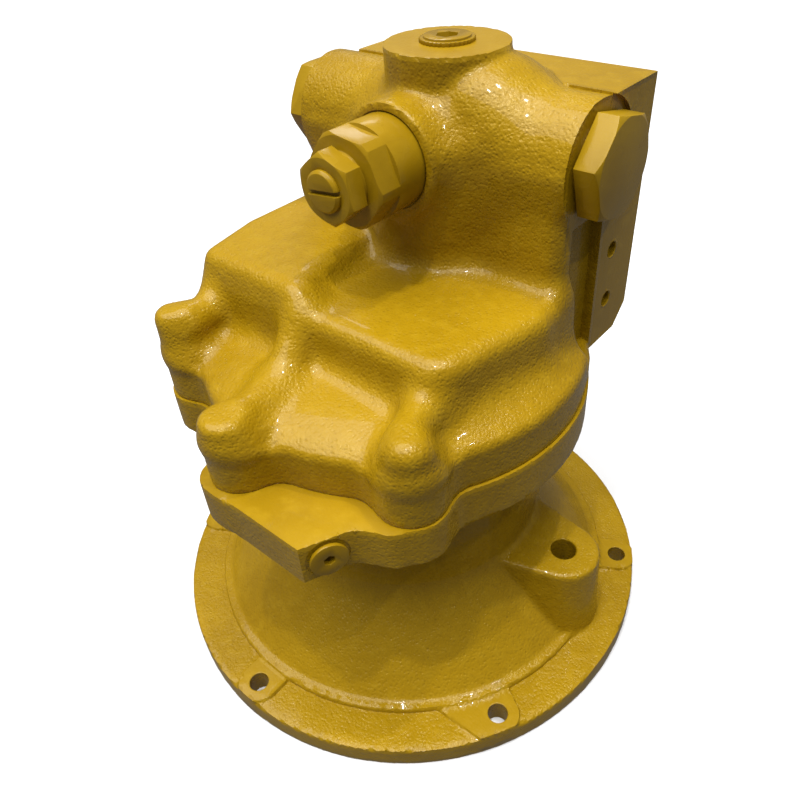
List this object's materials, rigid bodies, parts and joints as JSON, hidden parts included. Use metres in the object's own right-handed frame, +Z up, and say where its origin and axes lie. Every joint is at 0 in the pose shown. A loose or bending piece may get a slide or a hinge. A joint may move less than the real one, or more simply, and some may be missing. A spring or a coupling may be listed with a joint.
{
  "type": "hydraulic swing motor",
  "caption": "Bent-axis hydraulic piston motor with a spring-applied disc brake in a flanged cast case, for turning an excavator's upper structure.",
  "frame": {"origin": "centre of the flange's bottom face, on the drive shaft's axis", "axes": "+Z up along the drive shaft, away from the flange; -Y the way the safety valve points; +Y out of the port face; +X towards the side with the two tapped holes"},
  "size_m": [0.36, 0.36, 0.3929],
  "materials": {
    "painted_casting": "yellow-ochre gloss paint over a cast skin",
    "painted_steel": "yellow-ochre gloss paint over turned steel",
    "machined_steel": "machined, oiled",
    "black_steel": "blackened",
    "rubber": "matte",
    "friction": "sintered lining",
    "bronze": "lapped"
  },
  "bodies": {
    "case": {"case": "painted_casting", "housing": "painted_casting", "lower_bearing_cup": "machined_steel", "upper_bearing_cup": "machined_steel", "shaft_seal": "rubber", "seal_snap_ring": "black_steel", "brake_plates": "machined_steel", "brake_springs": "black_steel", "valve_plate": "bronze", "valve_plate_pin": "machined_steel", "joint_o_ring": "rubber", "housing_bolts": "painted_steel", "joint_dowels": "machined_steel", "plug_right": "painted_steel", "plug_left": "painted_steel", "plug_o_rings": "rubber", "check_spring_right": "black_steel", "check_spring_left": "black_steel", "relief_body": "painted_steel", "relief_o_ring": "rubber", "relief_spring": "black_steel", "lock_nut": "painted_steel", "shuttle_plug": "painted_steel", "top_plug": "painted_steel", "top_plug_o_ring": "rubber", "brake_port_plug": "painted_steel"},
    "shaft": {"drive_shaft": "machined_steel", "lower_bearing_cone": "machined_steel", "lower_bearing_rollers": "machined_steel", "upper_bearing_cone": "machined_steel", "upper_bearing_rollers": "machined_steel", "bearing_spacer": "machined_steel", "ball_retainer": "machined_steel", "retainer_screws": "black_steel", "brake_discs": "friction"},
    "block": {"cylinder_block": "machined_steel", "centre_shaft": "machined_steel", "centre_spring": "black_steel"},
    "piston_1": {"piston_1": "machined_steel"},
    "piston_2": {"piston_2": "machined_steel"},
    "piston_3": {"piston_3": "machined_steel"},
    "piston_4": {"piston_4": "machined_steel"},
    "piston_5": {"piston_5": "machined_steel"},
    "piston_6": {"piston_6": "machined_steel"},
    "piston_7": {"piston_7": "machined_steel"},
    "brake": {"brake_piston": "machined_steel", "piston_seal_upper": "rubber", "piston_seal_lower": "rubber"},
    "check_right": {"check_valve_right": "machined_steel"},
    "check_left": {"check_valve_left": "machined_steel"},
    "shuttle": {"shuttle_spool": "machined_steel"},
    "poppet": {"relief_poppet": "machined_steel"},
    "setting": {"spring_seat": "machined_steel"},
    "screw": {"adjusting_screw": "painted_steel"}
  },
  "joints": [
    {"name": "shaft_spin", "type": "hinge", "parent": "case", "child": "shaft", "pos_m": [0, 0, 0.15], "axis": [0, 0, 1], "continuous": true},
    {"name": "block_spin", "type": "hinge", "parent": "case", "child": "block", "pos_m": [0, 0, 0.15], "axis": [0, 0.342, 0.9397], "continuous": true},
    {"name": "piston_1_ball", "type": "hinge", "parent": "shaft", "child": "piston_1", "pos_m": [0.042, 0, 0.15], "axis": [0, 0, 1], "continuous": true},
    {"name": "piston_2_ball", "type": "hinge", "parent": "shaft", "child": "piston_2", "pos_m": [0.02619, 0.03284, 0.15], "axis": [0, 0, 1], "continuous": true},
    {"name": "piston_3_ball", "type": "hinge", "parent": "shaft", "child": "piston_3", "pos_m": [-0.00935, 0.04095, 0.15], "axis": [0, 0, 1], "continuous": true},
    {"name": "piston_4_ball", "type": "hinge", "parent": "shaft", "child": "piston_4", "pos_m": [-0.03784, 0.01822, 0.15], "axis": [0, 0, 1], "continuous": true},
    {"name": "piston_5_ball", "type": "hinge", "parent": "shaft", "child": "piston_5", "pos_m": [-0.03784, -0.01822, 0.15], "axis": [0, 0, 1], "continuous": true},
    {"name": "piston_6_ball", "type": "hinge", "parent": "shaft", "child": "piston_6", "pos_m": [-0.00935, -0.04095, 0.15], "axis": [0, 0, 1], "continuous": true},
    {"name": "piston_7_ball", "type": "hinge", "parent": "shaft", "child": "piston_7", "pos_m": [0.02619, -0.03284, 0.15], "axis": [0, 0, 1], "continuous": true},
    {"name": "brake_release", "type": "slide", "parent": "case", "child": "brake", "axis": [0, 0, 1], "range_m": [0, 0.0025], "stiffness_N_per_m": 60000, "springref_m": -0.004, "deforming": ["brake_springs"]},
    {"name": "check_right_lift", "type": "slide", "parent": "case", "child": "check_right", "axis": [1, 0, 0], "range_m": [0, 0.005], "stiffness_N_per_m": 400, "springref_m": -0.004, "deforming": ["check_spring_right"]},
    {"name": "check_left_lift", "type": "slide", "parent": "case", "child": "check_left", "axis": [-1, 0, 0], "range_m": [0, 0.005], "stiffness_N_per_m": 400, "springref_m": -0.004, "deforming": ["check_spring_left"]},
    {"name": "shuttle_slide", "type": "slide", "parent": "case", "child": "shuttle", "axis": [1, 0, 0], "range_m": [-0.008, 0.008]},
    {"name": "relief_lift", "type": "slide", "parent": "case", "child": "poppet", "axis": [0, -1, 0], "range_m": [0, 0.002], "stiffness_N_per_m": 8000, "springref_m": -0.004, "deforming": ["relief_spring"]},
    {"name": "setting_slide", "type": "slide", "parent": "case", "child": "setting", "axis": [0, 1, 0], "range_m": [-0.003, 0.003]},
    {"name": "adjusting_screw_turn", "type": "hinge", "parent": "setting", "child": "screw", "pos_m": [0, -0.03, 0.337], "axis": [0, 1, 0], "range_deg": [-720, 720]}
  ],
  "couplings": [
    {"joint": "block_spin", "follows": "shaft_spin", "ratio": 1},
    {"joint": "piston_1_ball", "follows": "shaft_spin", "ratio": -1},
    {"joint": "piston_2_ball", "follows": "shaft_spin", "ratio": -1},
    {"joint": "piston_3_ball", "follows": "shaft_spin", "ratio": -1},
    {"joint": "piston_4_ball", "follows": "shaft_spin", "ratio": -1},
    {"joint": "piston_5_ball", "follows": "shaft_spin", "ratio": -1},
    {"joint": "piston_6_ball", "follows": "shaft_spin", "ratio": -1},
    {"joint": "piston_7_ball", "follows": "shaft_spin", "ratio": -1},
    {"joint": "adjusting_screw_turn", "follows": "setting_slide", "rad_per_m": 4189.4}
  ]
}
